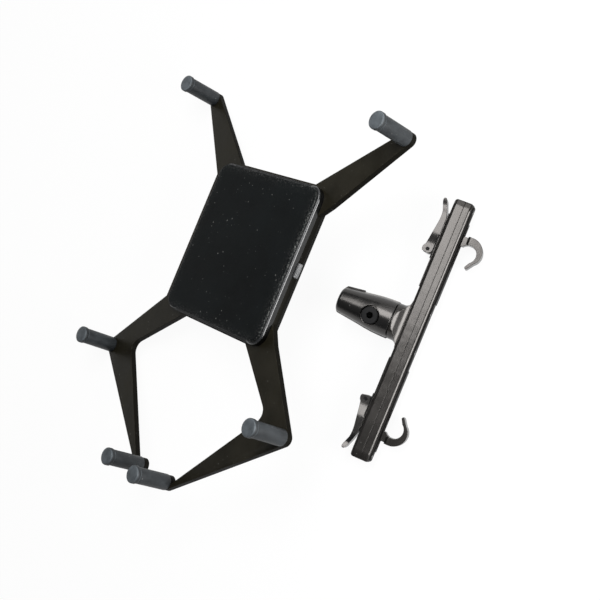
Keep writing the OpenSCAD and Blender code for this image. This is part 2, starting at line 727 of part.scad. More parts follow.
module bar_back_shell() {
    color([0.15, 0.15, 0.16]) in_clamp() difference() {
        union() {
            difference() {
                union() {
                    bar_body();
                    back_frames();
                }
                translate([-1, bar_wall - bar_y, -cavity_z])
                    cube([back_in + 1, bar_len - 2 * bar_wall, 2 * cavity_z]);
                seam_groove();
            }
            at_shell_screws() cylinder(r = shell_boss_r, h = back_in + eps);
        }
        translate([-front_x - 5, -bar_y - 1, -bar_z - 5]) cube([front_x + 5, bar_len + 2, bar_w + 10]);
        back_slots();
        at_shell_screws() {
            translate([0, 0, -1]) cylinder(r = shell_screw_r + hole_gap, h = back_x + 3);
            translate([0, 0, back_x - shell_head_sunk]) cylinder(r = shell_head_r + hole_gap, h = 4);
        }
    }
}

module shell_screws() {
    color([0.4, 0.4, 0.41]) in_clamp() at_shell_screws() difference() {
        union() {
            translate([0, 0, back_x - shell_head_sunk]) cylinder(r = shell_head_r, h = shell_head_sunk - 0.2);
            translate([0, 0, 0.3 - front_in]) cylinder(r = shell_screw_r, h = front_in + back_in);
        }
        for (turn = [0, 90]) rotate(turn) translate([-1.2, -0.3, back_x - 0.8]) cube([2.4, 0.6, 2]);
    }
}

// Nose

// Outline of the nose from its wide end to its tip, set in by the given step
function nose_outline(step) = [
    [0, nose_joint + slide_gap],
    [nose_r - step - nose_chamfer, nose_joint + slide_gap],
    [nose_r - step, nose_joint + slide_gap + nose_chamfer],
    [nose_r - step - 0.1, nose_joint + 6],
    [nose_r - step - 0.4, nose_joint + 11],
    [nose_r - step - 1, nose_joint + 16],
    [nose_r - step - 1.9, nose_joint + 22],
    [nose_tip_r - step + 0.5, nose_tip - 1.6],
    [nose_tip_r - step, nose_tip - 0.6],
    [nose_tip_r - step - 1, nose_tip],
    [0, nose_tip]];

// The raised lip beside the tip of the far jaw
module jaw_lip() {
    intersection() {
        translate([0, nose_up, 0]) rotate([0, -90, 0]) rotate_extrude()
            polygon([[0, nose_tip - lip_len - 1], [nose_tip_r + 2.2, nose_tip - lip_len - 1],
                     [nose_tip_r + 3, nose_tip - lip_len], [nose_tip_r + 1.5, nose_tip - 1.8],
                     [nose_tip_r + 0.2, nose_tip - 0.6], [0, nose_tip - 0.6]]);
        translate([-nose_tip, nose_up + 1, -nose_r]) cube([nose_tip, nose_r + 4, 2 * nose_r]);
    }
}

module jaw(side) {
    step = side > 0 ? jaw_step : 0;
    low_z = side > 0 ? jaw_split / 2 : -jaw_split / 2 - nose_r - 2;
    seat_x = nose_tip - seat_depth;
    difference() {
        intersection() {
            union() {
                translate([0, nose_up, 0]) rotate([0, -90, 0]) rotate_extrude() polygon(nose_outline(step));
                if (side < 0) jaw_lip();
            }
            translate([-nose_tip - 1, nose_up - nose_r - 2, low_z])
                cube([nose_tip, 2 * nose_r + 4, nose_r + 2]);
        }
        translate([-seat_x, nose_up, 0]) sphere(ball_r + seat_gap);
        translate([-nose_joint, nose_up, 0]) rotate([0, -90, 0]) {
            cylinder(r = spigot_r + spigot_gap, h = spigot_len + 2 * spigot_gap);
            translate([0, 0, spigot_len - flange_len - spigot_gap])
                cylinder(r = spigot_r + flange_out + spigot_gap, h = flange_len + 3 * spigot_gap);
        }
        translate([-nose_tip + 12.5, nose_up - 4.5, -6]) cube([6.5, 9, 12]);
        translate([-jaw_screw_at, nose_up - jaw_screw_drop, 0]) {
            cylinder(r = screw_r + hole_gap, h = 40, center = true);
            if (side > 0) translate([0, 0, screw_seat_z]) cylinder(r = recess_r, h = 20);
            if (side < 0) translate([0, 0, -nut_seat_z - 20]) cylinder(r = nut_r + 0.12, h = 20, $fn = 6);
        }
    }
}

module near_jaw() {
    color([0.10, 0.10, 0.11]) in_clamp() jaw(1);
}

module far_jaw() {
    color([0.10, 0.10, 0.11]) in_clamp() jaw(-1);
}

module clamp_screw() {
    head_t = 3;
    color([0.2, 0.2, 0.21]) in_clamp() translate([-jaw_screw_at, nose_up - jaw_screw_drop, 0]) difference() {
        union() {
            translate([0, 0, screw_seat_z + slide_gap]) cylinder(r = screw_head_r, h = head_t - 0.4);
            translate([0, 0, screw_seat_z + slide_gap + head_t - 0.4 - eps])
                cylinder(r1 = screw_head_r, r2 = screw_head_r - 0.4, h = 0.4 + eps);
            translate([0, 0, -nut_seat_z - nut_t])
                cylinder(r = screw_r, h = screw_seat_z + nut_seat_z + nut_t + 1);
        }
        translate([0, 0, screw_seat_z + slide_gap + head_t - 2]) cylinder(r = 2.3, h = 4, $fn = 6);
    }
}

module clamp_nut() {
    color([0.55, 0.55, 0.56]) in_clamp() translate([-jaw_screw_at, nose_up - jaw_screw_drop, 0])
        difference() {
        translate([0, 0, -nut_seat_z - nut_t]) cylinder(r = nut_r, h = nut_t, $fn = 6);
        translate([0, 0, -nut_seat_z - nut_t - 1]) cylinder(r = screw_r + pin_gap, h = nut_t + 2);
    }
}

// Hook units: drawn for the upper end with y outward from the pin, mirrored for the lower end

module at_unit(side) {
    pin_at = side > 0 ? upper_pin_at : lower_pin_at;
    in_clamp() mirror([0, side > 0 ? 0 : 1, 0]) translate([0, pin_at, 0]) children();
}

module carriage(crank) {
    low = -6;
    high = crank + 3.8;
    rail_in = rod_w / 2 + rod_gap;
    floor_x = slide_gap - front_in;
    difference() {
        translate([floor_x, low, slide_gap - cavity_z])
            cube([front_in + back_in - 2 * slide_gap, high - low, 2 * (cavity_z - slide_gap)]);
        translate([floor_x + carriage_floor_t, low - 1, -rail_in])
            cube([front_x + back_x, high - low + 2, 2 * rail_in]);
        translate([floor_x - 1, -rod_len / 2 - rod_gap, -rail_in]) cube([4, rod_len + 2 * rod_gap, 2 * rail_in]);
    }
}

module cam_plate() {
    seat_x = -rim_front - slide_gap / 2;
    difference() {
        union() {
            translate([seat_x - cam_plate_t, -5, -cam_plate_half_z])
                cube([cam_plate_t, 15, 2 * cam_plate_half_z]);
            translate([seat_x - eps, -bush_half_y, -bush_half_z])
                cube([-front_in + slide_gap / 2 - seat_x, 2 * bush_half_y, 2 * bush_half_z]);
        }
        translate([seat_x - 5, -rod_len / 2 - rod_gap, -rod_w / 2 - rod_gap])
            cube([20, rod_len + 2 * rod_gap, rod_w + 2 * rod_gap]);
    }
}

// Outline of the hook round the post, from its root to its tail, with the post's middle at the origin
module hook_outline() {
    steps = 20;
    turns = [for (i = [0 : steps]) hook_sweep * i / steps];
    tail = [cos(hook_sweep), -sin(hook_sweep)];
    out = [sin(hook_sweep), cos(hook_sweep)];
    difference() {
        polygon(concat([for (t = turns) (post_r - 0.5) * [sin(t), cos(t)]],
                       [(post_r + 0.1) * out + hook_tail * tail,
                        (post_r + 0.7 * hook_tip_t) * out + (hook_tail + 0.5) * tail,
                        (post_r + hook_tip_t) * out + (hook_tail - 0.3) * tail],
                       [for (i = [steps : -1 : 0])
                        (post_r + hook_wall(turns[i])) * [sin(turns[i]), cos(turns[i])]]));
        circle(post_r);
    }
}

// The block between shank and bend, with slopes up to its full width, its corner at the post's middle
module hook_root() {
    rise = (hook_w - rod_w) / 2;
    translate([0, post_r + hook_root_t, 0]) rotate([90, 0, 0]) linear_extrude(hook_root_t)
        polygon([[-hook_root_len, -rod_w / 2], [rise - hook_root_len, -hook_w / 2], [eps, -hook_w / 2],
                 [eps, hook_w / 2], [rise - hook_root_len, hook_w / 2], [-hook_root_len, rod_w / 2]]);
}

module hook(crank) {
    middle = [post_depth, crank - post_offset];
    root_x = post_depth - hook_root_len;
    difference() {
        union() {
            translate([middle[0], middle[1], -hook_w / 2]) linear_extrude(hook_w) hook_outline();
            translate([middle[0], middle[1], 0]) hook_root();
            translate([-crank_front, crank - shank_len / 2, -rod_w / 2])
                cube([root_x + crank_front + 1.5, shank_len, rod_w]);
            translate([-crank_front, -rod_len / 2, -rod_w / 2]) cube([crank_t, crank + rod_len / 2, rod_w]);
            translate([-pin_height, -rod_len / 2, -rod_w / 2]) cube([pin_height - crank_front + eps, rod_len, rod_w]);
            translate([-pin_height, 0, 0]) cylinder(r = eye_r, h = rod_w, center = true);
        }
        translate([-pin_height, 0, 0]) cylinder(r = pin_r + pin_gap, h = rod_w + 2, center = true);
        translate([middle[0], middle[1], 0]) cylinder(r = post_r, h = hook_w + 2, center = true);
    }
}

// Side view of the lever: x is away from the bar's middle plane, measured from the pin
function cam_point(turn) =
    let (h = cam_high - cam_rate * turn, slope = cam_rate * 180 / PI, way = turn)
    [h * cos(way) + slope * sin(way), -h * sin(way) + slope * cos(way)];

// Points of a smooth curve through the given points, which starts and ends at the inner ones
function smooth_line(p, steps = 4) =
    [for (i = [1 : len(p) - 3], k = [0 : steps - 1])
     let (t = k / steps)
     p[i] + (p[i + 1] - p[i - 1]) * t / 2
     + (2 * p[i - 1] - 5 * p[i] + 4 * p[i + 1] - p[i + 2]) * t * t / 2
     + (3 * p[i] - p[i - 1] - 3 * p[i + 1] + p[i + 2]) * t * t * t / 2];

module lever_side() {
    foot_end = 10.4;
    polygon(concat(
        [for (turn = [lever_open : -5 : 0]) cam_point(turn)],
        [[cam_high, foot_end], [cam_high + cam_plate_t, foot_end], [cam_high + cam_plate_t, 21.6]],
        smooth_line([[4.4, 19], [cam_high + cam_plate_t, 21.6], [2.3, lever_len - 7.1], [0.9, lever_len - 3.5],
                     [-0.3, lever_len - 0.7], [-0.9, lever_len]]),
        [[-0.9, lever_len], [-1.9, lever_len], [-2.5, lever_len - 0.8]],
        smooth_line([[-2.6, lever_len + 2], [-2.4, lever_len - 2.2], [-1.2, lever_len - 5.6], [0, lever_len - 9],
                     [0.2, lever_len - 13.6], [-0.5, 14.4], [-1.5, 7.8], [-2.1, 4.6], [-2.6, 2.5]]),
        arc([0, 0], ear_r, 132, 209, 8)));
}

// The part of the lever between its cheeks, cut away round the rod and its eye
module lever_web() {
    difference() {
        lever_side();
        polygon([[-6, -8], [-6, -1], [-2.8, -1], [-2.8, 0.4], [-1.9, 2.4], [-0.9, 5],
                 [1.2, 15.5], [1.7, 21], [12, 21], [12, -8]]);
    }
}

module lever() {
    translate([-pin_height, 0, 0]) difference() {
        union() {
            for (low_z = [cheek_in, -lever_w / 2])
                translate([0, 0, low_z]) linear_extrude(cheek_t) lever_side();
            translate([0, 0, -lever_w / 2]) linear_extrude(lever_w) lever_web();
        }
        cylinder(r = pin_r + pin_gap, h = lever_w + 2, center = true);
    }
}

module lever_pin() {
    translate([-pin_height, 0, 0]) cylinder(r = pin_r, h = lever_w + 0.2, center = true);
}

module upper_carriage() { color([0.25, 0.25, 0.26]) at_unit(1) carriage(upper_crank); }
module upper_cam_plate() { color([0.35, 0.35, 0.36]) at_unit(1) cam_plate(); }
module upper_hook() { color([0.20, 0.20, 0.21]) at_unit(1) hook(upper_crank); }
module upper_lever() { color([0.12, 0.12, 0.13]) at_unit(1) lever(); }
module upper_lever_pin() { color([0.6, 0.6, 0.61]) at_unit(1) lever_pin(); }
module lower_carriage() { color([0.25, 0.25, 0.26]) at_unit(-1) carriage(lower_crank); }
module lower_cam_plate() { color([0.35, 0.35, 0.36]) at_unit(-1) cam_plate(); }
module lower_hook() { color([0.20, 0.20, 0.21]) at_unit(-1) hook(lower_crank); }
module lower_lever() { color([0.12, 0.12, 0.13]) at_unit(-1) lever(); }
module lower_lever_pin() { color([0.6, 0.6, 0.61]) at_unit(-1) lever_pin(); }

spider_frame();
front_plate();
grip_pad();
finger_sleeve([-finger_u, finger_top_v]);  // finger_sleeve_top_left
finger_sleeve([finger_u, finger_top_v]);  // finger_sleeve_top_right
finger_sleeve([-finger_u, -finger_side_v]);  // finger_sleeve_side_left
finger_sleeve([finger_u, -finger_side_v]);  // finger_sleeve_side_right
finger_sleeve([-finger_bottom_u, -finger_bottom_v]);  // finger_sleeve_bottom_left
finger_sleeve([finger_bottom_u, -finger_bottom_v]);  // finger_sleeve_bottom_right
back_cover();
cover_screws();
adapter_plate();
ball_stud();
stud_screw();
release_button();
button_spring();
bar_front_shell();
bar_back_shell();
shell_screws();
near_jaw();
far_jaw();
clamp_screw();
clamp_nut();
upper_carriage();
upper_cam_plate();
upper_hook();
upper_lever();
upper_lever_pin();
lower_carriage();
lower_cam_plate();
lower_hook();
lower_lever();
lower_lever_pin();
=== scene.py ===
# %% [markdown]
# # A headrest tablet mount, dressed for the camera
#
# The object has two parts that lie side by side: a tablet holder with six sleeved fingers, and the
# headrest clamp that carries it. The solids come in as a frame that stays as it is. This lesson
# gives every solid its material, and builds soft-edged pieces in place of those that catch the
# light. It starts with the imports and the frame. All sizes are in metres.

import json
import math

import bmesh
import bpy
from mathutils import Matrix, Vector


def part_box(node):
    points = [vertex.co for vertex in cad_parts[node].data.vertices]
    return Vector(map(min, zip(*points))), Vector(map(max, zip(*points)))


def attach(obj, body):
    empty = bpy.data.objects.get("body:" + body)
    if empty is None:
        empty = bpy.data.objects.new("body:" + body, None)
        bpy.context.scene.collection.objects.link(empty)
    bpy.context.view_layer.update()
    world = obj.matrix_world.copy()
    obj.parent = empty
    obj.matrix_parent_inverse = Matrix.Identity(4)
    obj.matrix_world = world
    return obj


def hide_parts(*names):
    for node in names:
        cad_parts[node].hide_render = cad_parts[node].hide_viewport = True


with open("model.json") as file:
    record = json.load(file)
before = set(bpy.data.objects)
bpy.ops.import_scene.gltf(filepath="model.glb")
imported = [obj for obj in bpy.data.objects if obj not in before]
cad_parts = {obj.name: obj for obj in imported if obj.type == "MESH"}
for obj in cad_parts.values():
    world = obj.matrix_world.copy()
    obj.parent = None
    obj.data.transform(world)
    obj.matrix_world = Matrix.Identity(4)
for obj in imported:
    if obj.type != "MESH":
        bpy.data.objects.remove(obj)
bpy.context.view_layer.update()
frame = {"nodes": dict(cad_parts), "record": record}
NODES = frame["nodes"]
MM = 0.001

# %% [markdown]
# ## Two slanted frames of reference
#
# Both parts lie tipped on the floor, each by its own angle. A shape could be drawn straight in the
# tipped place, but its numbers would then mean nothing. So each part gets a matrix that turns its
# own upright coordinates into the tipped ones, and its pieces are drawn upright.

# %% Slanted frames
HOLDER_TILT = math.radians(20.52)
CLAMP_TILT = math.radians(12.79)


def middle_of(node):
    lo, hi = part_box(node)
    return (lo + hi) / 2


def slanted(origin, tilt):
    """A frame whose X axis is tipped up from the floor by tilt, with Y along the floor."""
    return Matrix.Translation(origin) @ Matrix.Rotation(-tilt, 4, "Y")


HOLDER = slanted(middle_of("grip_pad"), HOLDER_TILT)
CLAMP = slanted(middle_of("bar_back_shell"), -CLAMP_TILT)
HOLDER_UP = HOLDER.to_3x3() @ Vector((0, 0, 1))
BAR_ACROSS = CLAMP.to_3x3() @ Vector((1, 0, 0))
print("pad's middle at", [round(c, 4) for c in HOLDER.translation])

# %% [markdown]
# ## Small helpers for node trees
#
# A material is a tree of nodes, and most of its code is the same four moves: add a node, do a sum,
# blend two colours, or stretch one range of numbers onto another. With a helper for each, the
# effects below read like the sentences that describe them.

# %% Node helpers


def new_group(name, inputs, outputs):
    group = bpy.data.node_groups.new(name, "ShaderNodeTree")
    for label, kind, value in inputs:
        made = group.interface.new_socket(label, in_out="INPUT", socket_type=kind)
        made.default_value = value
    for label, kind in outputs:
        group.interface.new_socket(label, in_out="OUTPUT", socket_type=kind)
    return group, group.nodes.new("NodeGroupInput"), group.nodes.new("NodeGroupOutput")


def add(tree, kind, **values):
    """A new node; values set its properties, or its inputs where the name is an input's."""
    made = tree.nodes.new(kind)
    for name, value in values.items():
        label = name.replace("_", " ")
        if label in made.inputs:
            made.inputs[label].default_value = value
        else:
            setattr(made, name, value)
    return made


def feed(tree, value, socket):
    """Links value to the socket if it is a socket too, and otherwise sets it as a number."""
    if hasattr(value, "links"):
        tree.links.new(value, socket)
    else:
        socket.default_value = value


def sum_node(tree, operation, *values, clamp=False):
    made = add(tree, "ShaderNodeMath", operation=operation, use_clamp=clamp)
    for value, socket in zip(values, made.inputs):
        feed(tree, value, socket)
    return made.outputs[0]


def lerp(tree, factor, low_socket, high_socket):
    """Factor 0 gives the first colour and 1 the second."""
    made = add(tree, "ShaderNodeMix", data_type="RGBA")
    tree.links.new(factor, made.inputs["Factor"])
    tree.links.new(low_socket, made.inputs[6])
    tree.links.new(high_socket, made.inputs[7])
    return made.outputs[2]


def span(tree, value, from_low, from_high, to_low, to_high):
    """Stretches the first range onto the second, and holds what lies outside at its ends."""
    made = add(tree, "ShaderNodeMapRange")
    tree.links.new(value, made.inputs["Value"])
    ends = {"From Min": from_low, "From Max": from_high, "To Min": to_low, "To Max": to_high}
    for name, number in ends.items():
        feed(tree, number, made.inputs[name])
    return made.outputs["Result"]


print("node helpers ready")

# %% [markdown]
# ## Dust and painted side shade, an effect that all materials share
#
# Black plastic is never one flat colour. It is a little cloudy, and single specks of dust lie on
# it.
# Its walls get a darker colour than its upper faces, which is painted shade. A painted texture
# could show that, but it would need a picture and a layout for each piece. This group makes it from
# the place and the normal of each point instead. Both are the piece's own, so the dust and the
# painted shade stay where they are when a piece moves. Near the pad's rim the dust is denser: the
# pad's mesh carries a number called rim for that, and on other meshes it is nought. The scales
# count lumps per metre.

# %% The group of dust and painted side shade
CLOUD_LOW, CLOUD_HIGH = 0.3, 0.7  # the part of a noise that most of it lies in
WALL_Z, TOP_Z = 0.35, 0.85  # a normal's Z: a wall up to the first, a top face from the second
SPECK_RARITY, SPECK_SIZE = 0.75, 0.24  # the share of cells with no speck; a speck in its cell
POWDER_SCALE, POWDER_LOW, POWDER_HIGH = 1000.0, 0.5, 0.64


def specks(tree, place, scale):
    """Small round cells, each with its own random size and paleness, and many of them empty."""
    cells = add(tree, "ShaderNodeTexVoronoi", Randomness=1.0)
    tree.links.new(place, cells.inputs["Vector"])
    tree.links.new(scale, cells.inputs["Scale"])
    lot = add(tree, "ShaderNodeSeparateColor")
    tree.links.new(cells.outputs["Color"], lot.inputs[0])
    size = span(tree, lot.outputs[0], SPECK_RARITY, 1.0, 0.0, SPECK_SIZE)
    inside = sum_node(tree, "LESS_THAN", cells.outputs["Distance"], size)
    return sum_node(tree, "MULTIPLY", inside, lot.outputs[1])


def rim_powder(tree, place):
    """Finer dust, only where a mesh's rim attribute is above nought."""
    powder = add(tree, "ShaderNodeTexNoise", Scale=POWDER_SCALE, Detail=2.0)
    tree.links.new(place, powder.inputs["Vector"])
    grains = span(tree, powder.outputs["Fac"], POWDER_LOW, POWDER_HIGH, 0.0, 1.0)
    rim = add(tree, "ShaderNodeAttribute", attribute_name="rim").outputs["Fac"]
    return sum_node(tree, "MULTIPLY", grains, rim)


def make_surface_group():
    group, source, result = new_group(
        "dust and painted side shade",
        [("Colour", "NodeSocketColor", (0.05, 0.05, 0.05, 1)),
         ("Dust Colour", "NodeSocketColor", (0.4, 0.4, 0.38, 1)),
         ("Roughness", "NodeSocketFloat", 0.4),
         ("Roughness Spread", "NodeSocketFloat", 0.08),
         ("Mottle", "NodeSocketFloat", 0.25),
         ("Mottle Scale", "NodeSocketFloat", 45.0),
         ("Dust Amount", "NodeSocketFloat", 0.5),
         ("Speck Scale", "NodeSocketFloat", 420.0),
         ("Rim Dust", "NodeSocketFloat", 0.0),
         ("Side Shade", "NodeSocketFloat", 0.35),
         ("Side Polish", "NodeSocketFloat", 0.0)],
        [("Colour", "NodeSocketColor"), ("Roughness", "NodeSocketFloat")])
    given = source.outputs
    spot = add(group, "ShaderNodeTexCoord")
    place = spot.outputs["Object"]
    facing = add(group, "ShaderNodeSeparateXYZ")
    group.links.new(spot.outputs["Normal"], facing.inputs[0])
    upward = facing.outputs["Z"]
    noise = add(group, "ShaderNodeTexNoise", Detail=4.0, Roughness=0.6)
    group.links.new(place, noise.inputs["Vector"])
    group.links.new(given["Mottle Scale"], noise.inputs["Scale"])
    cloud = span(group, noise.outputs["Fac"], CLOUD_LOW, CLOUD_HIGH, -1.0, 1.0)

    # The colour: cloudy, darker on the walls by Side Shade as painted shade, with dust on top
    swing = sum_node(group, "MULTIPLY", cloud, given["Mottle"])
    lift = sum_node(group, "ADD", swing, 1.0)
    # painted shade: the walls' colour is darkened down to Side Shade, and the top faces keep it
    painted_wall_shade = span(group, upward, WALL_Z, TOP_Z, given["Side Shade"], 1.0)
    shade = add(group, "ShaderNodeHueSaturation")
    group.links.new(given["Colour"], shade.inputs["Color"])
    group.links.new(sum_node(group, "MULTIPLY", lift, painted_wall_shade), shade.inputs["Value"])
    dust = sum_node(group, "MULTIPLY", specks(group, place, given["Speck Scale"]),
                    given["Dust Amount"])
    dust = sum_node(group, "MULTIPLY_ADD", rim_powder(group, place), given["Rim Dust"], dust,
                    clamp=True)
    group.links.new(lerp(group, dust, shade.outputs["Color"], given["Dust Colour"]),
                    result.inputs["Colour"])

    # The roughness: cloudy too, and lower on the walls by Side Polish
    wobble = sum_node(group, "MULTIPLY", cloud, given["Roughness Spread"])
    total = sum_node(group, "ADD", wobble, given["Roughness"])
    polish = span(group, upward, WALL_Z, TOP_Z, given["Side Polish"], 0.0)
    group.links.new(sum_node(group, "SUBTRACT", total, polish, clamp=True),
                    result.inputs["Roughness"])
    return group


SURFACE = make_surface_group()
print("made the group", SURFACE.name, "with", len(SURFACE.nodes), "nodes")

# %% [markdown]
# ## Moulded grain, the relief that all materials share
#
# A mould leaves two marks: slow waves where the plastic shrank, which bend a highlight, and a fine
# grain that breaks it up. As geometry they would need millions of faces, so they are bump. The
# Bevel node at the start rounds the look of edges that are too small to round in the mesh.

# %% The moulded grain group
WAVE_DEPTH, GRAIN_DEPTH = 0.004, 0.0004


def make_grain_group():
    group, source, result = new_group(
        "moulded grain",
        [("Grain Scale", "NodeSocketFloat", 1500.0), ("Grain Height", "NodeSocketFloat", 0.02),
         ("Wave Scale", "NodeSocketFloat", 60.0), ("Wave Height", "NodeSocketFloat", 0.05),
         ("Edge Radius", "NodeSocketFloat", 0.0004)],
        [("Normal", "NodeSocketVector")])
    place = add(group, "ShaderNodeTexCoord").outputs["Object"]
    edge = add(group, "ShaderNodeBevel", samples=6)
    group.links.new(source.outputs["Edge Radius"], edge.inputs["Radius"])
    normal = edge.outputs["Normal"]
    for kind, depth in (("Wave", WAVE_DEPTH), ("Grain", GRAIN_DEPTH)):
        lumps = add(group, "ShaderNodeTexNoise", Detail=3.0)
        group.links.new(place, lumps.inputs["Vector"])
        group.links.new(source.outputs[kind + " Scale"], lumps.inputs["Scale"])
        bump = add(group, "ShaderNodeBump", Distance=depth)
        group.links.new(lumps.outputs["Fac"], bump.inputs["Height"])
        group.links.new(source.outputs[kind + " Height"], bump.inputs["Strength"])
        group.links.new(normal, bump.inputs["Normal"])
        normal = bump.outputs["Normal"]
    group.links.new(normal, result.inputs["Normal"])
    return group


GRAIN = make_grain_group()
print("made the group", GRAIN.name, "with", len(GRAIN.nodes), "nodes")

# %% [markdown]
# ## Materials
#
# The holder's frame is satin plastic, a touch brown, and its pad is dull rubber, a touch blue. The
# clamp is smoother, with a warm gloss, and its hooks and levers shine most. Each could have its own
# tree, but they differ only in numbers, so each material places the two groups and sets them.
# What is the same all over a surface, such as the strength and tint of its gloss, is set on the
# shader itself. Plain metals carry no specks.

# %% Materials


def make_material(name, colour, rough, metal=0.0, specular=0.5, tint=(1, 1, 1), surface=(),
                  grain=()):
    made = bpy.data.materials.new(name)
    made.use_nodes = True
    tree = made.node_tree
    shader = tree.nodes["Principled BSDF"]
    look = add(tree, "ShaderNodeGroup", node_tree=SURFACE)
    look.inputs["Colour"].default_value = (*colour, 1)
    look.inputs["Roughness"].default_value = rough
    for label, value in dict(surface).items():
        look.inputs[label].default_value = value
    relief = add(tree, "ShaderNodeGroup", node_tree=GRAIN)
    for label, value in dict(grain).items():
        relief.inputs[label].default_value = value
    tree.links.new(look.outputs["Colour"], shader.inputs["Base Color"])
    tree.links.new(look.outputs["Roughness"], shader.inputs["Roughness"])
    tree.links.new(relief.outputs["Normal"], shader.inputs["Normal"])
    shader.inputs["Metallic"].default_value = metal
    shader.inputs["Specular IOR Level"].default_value = specular
    shader.inputs["Specular Tint"].default_value = (*tint, 1)
    made.diffuse_color = (*colour, 1)
    return made


METAL = {"Dust Amount": 0.0, "Mottle": 0.1}
WARM = (1.0, 0.952, 0.915)
SATIN_BLACK, SMOOTH_BLACK = (0.0118, 0.0102, 0.0058), (0.011, 0.0103, 0.0096)
# Side Shade below sets how much darker each material's walls are painted, as painted shade
MATERIALS = {
    "satin_black_plastic": make_material(
        "satin black plastic", SATIN_BLACK, 0.4, specular=0.22,
        surface={"Dust Amount": 0.12, "Speck Scale": 420.0, "Side Shade": 0.12,
                 "Side Polish": 0.24},
        grain={"Grain Height": 0.12}),
    "edge_grey_plastic": make_material(
        "edge grey plastic", (0.016, 0.0168, 0.018), 0.3, specular=0.6,
        surface={"Mottle": 0.35, "Mottle Scale": 90.0, "Side Shade": 0.05, "Side Polish": 0.12}),
    "smooth_black_plastic": make_material(
        "smooth black plastic", SMOOTH_BLACK, 0.22, specular=0.46, tint=WARM,
        surface={"Dust Amount": 0.1, "Mottle Scale": 25.0, "Roughness Spread": 0.04,
                 "Side Shade": 0.15},
        grain={"Grain Height": 0.05, "Edge Radius": 0.0005}),
    "pad_rubber": make_material(
        "pad rubber", (0.0042, 0.0054, 0.0058), 0.48, specular=0.08,
        surface={"Dust Amount": 0.36, "Speck Scale": 480.0, "Rim Dust": 0.1, "Mottle": 0.4,
                 "Mottle Scale": 30.0},
        grain={"Grain Height": 0.25, "Grain Scale": 2200.0}),
    "sleeve_rubber": make_material(
        "sleeve rubber", (0.088, 0.1, 0.11), 0.5, specular=0.2,
        surface={"Dust Amount": 0.15, "Mottle": 0.35, "Mottle Scale": 140.0, "Side Shade": 0.2},
        grain={"Grain Height": 0.2, "Edge Radius": 0.0003}),
    "grey_plastic": make_material(
        "grey plastic", (0.1, 0.102, 0.104), 0.45, surface={"Side Shade": 0.9}),
    "gloss_black_plastic": make_material(
        "gloss black plastic", (0.0065, 0.0065, 0.0066), 0.24, specular=0.56, tint=WARM,
        surface={"Dust Amount": 0.12, "Roughness Spread": 0.04, "Side Shade": 0.3},
        grain={"Wave Height": 0.03}),
    "dark_steel": make_material(
        "dark steel", (0.008, 0.008, 0.0083), 0.42, specular=0.06, surface=METAL),
    "steel": make_material("steel", (0.2, 0.2, 0.2), 0.3, metal=1.0, surface=METAL),
}

SLOT_OF = {part["node"]: part["material_slot"] for part in frame["record"]["subparts"]}
for node, slot in SLOT_OF.items():
    NODES[node].data.materials.clear()
    NODES[node].data.materials.append(MATERIALS[slot])
print("materials:", len(MATERIALS), "on", len(SLOT_OF), "nodes")

# %% [markdown]
# ## Matt walls
#
# The sides of a mould are often left rougher than its face, so that the part slides out, and the
# walls of the moulding come out matt. In the photograph the walls of the frame and of the bar are
# nearly black where their faces shine. A mask in the shader couldn't do that, because the strength
# of the gloss is one number for the whole material, so the walls get a material of their own.

# %% Wall materials
# Side Shade here paints the walls darker too, as painted shade
WALL_SURFACE, WALL_GRAIN = {"Dust Amount": 0.05, "Side Shade": 0.2}, {"Grain Height": 0.2}
WALLS = {
    "satin_black_plastic": make_material(
        "matt black wall", SATIN_BLACK, 0.55, specular=0.05,
        surface=WALL_SURFACE, grain=WALL_GRAIN),
    "smooth_black_plastic": make_material(
        "matt black bar wall", SMOOTH_BLACK, 0.45, specular=0.04, tint=WARM,
        surface=WALL_SURFACE, grain=WALL_GRAIN),
}


def matt_walls(piece, slot, is_wall):
    """Gives the faces whose normal passes the test is_wall the matt material."""
    piece.data.materials.append(WALLS[slot])
    walls = [face for face in piece.data.polygons if is_wall(face.normal)]
    for face in walls:
        face.material_index = 1
    print(piece.name, "has", len(walls), "matt faces")


# %% [markdown]
# ## From a mesh to a piece
#
# Every piece takes the body and the slot of the solid that it stands for, so it moves with that
# solid and wears the same finish. Most solids have the right shape and only lack the small
# roundings that catch the light. Those are copied, welded and rounded with a Bevel modifier. Where
# a mesh is reshaped first, its big faces are no longer quite flat, and a bevel would show that, so
# it gets weighted normals and leaves its edges to the material's Bevel node.

# %% Pieces from meshes
BODY_OF = {node: body for body, nodes in frame["record"]["behaviour"]["bodies"].items()
           for node in nodes}
WELD, FLAT_WITHIN = 2e-6, math.radians(0.6)
BEVEL_SEGMENTS, BEVEL_FROM = 3, math.radians(32)


def finish_piece(name, mesh, nodes, place=None, shade_angle=35):
    """Turns a bmesh into a scene piece that stands for the given CAD nodes."""
    data = bpy.data.meshes.new(name)
    if place is not None:
        mesh.transform(place)
    bmesh.ops.recalc_face_normals(mesh, faces=mesh.faces)
    mesh.to_mesh(data)
    mesh.free()
    piece = bpy.data.objects.new(name, data)
    bpy.context.collection.objects.link(piece)
    data.materials.append(MATERIALS[SLOT_OF[nodes[0]]])
    data.shade_smooth()
    data.set_sharp_from_angle(angle=math.radians(shade_angle))
    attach(piece, BODY_OF[nodes[0]])
    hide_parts(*nodes)
    return piece


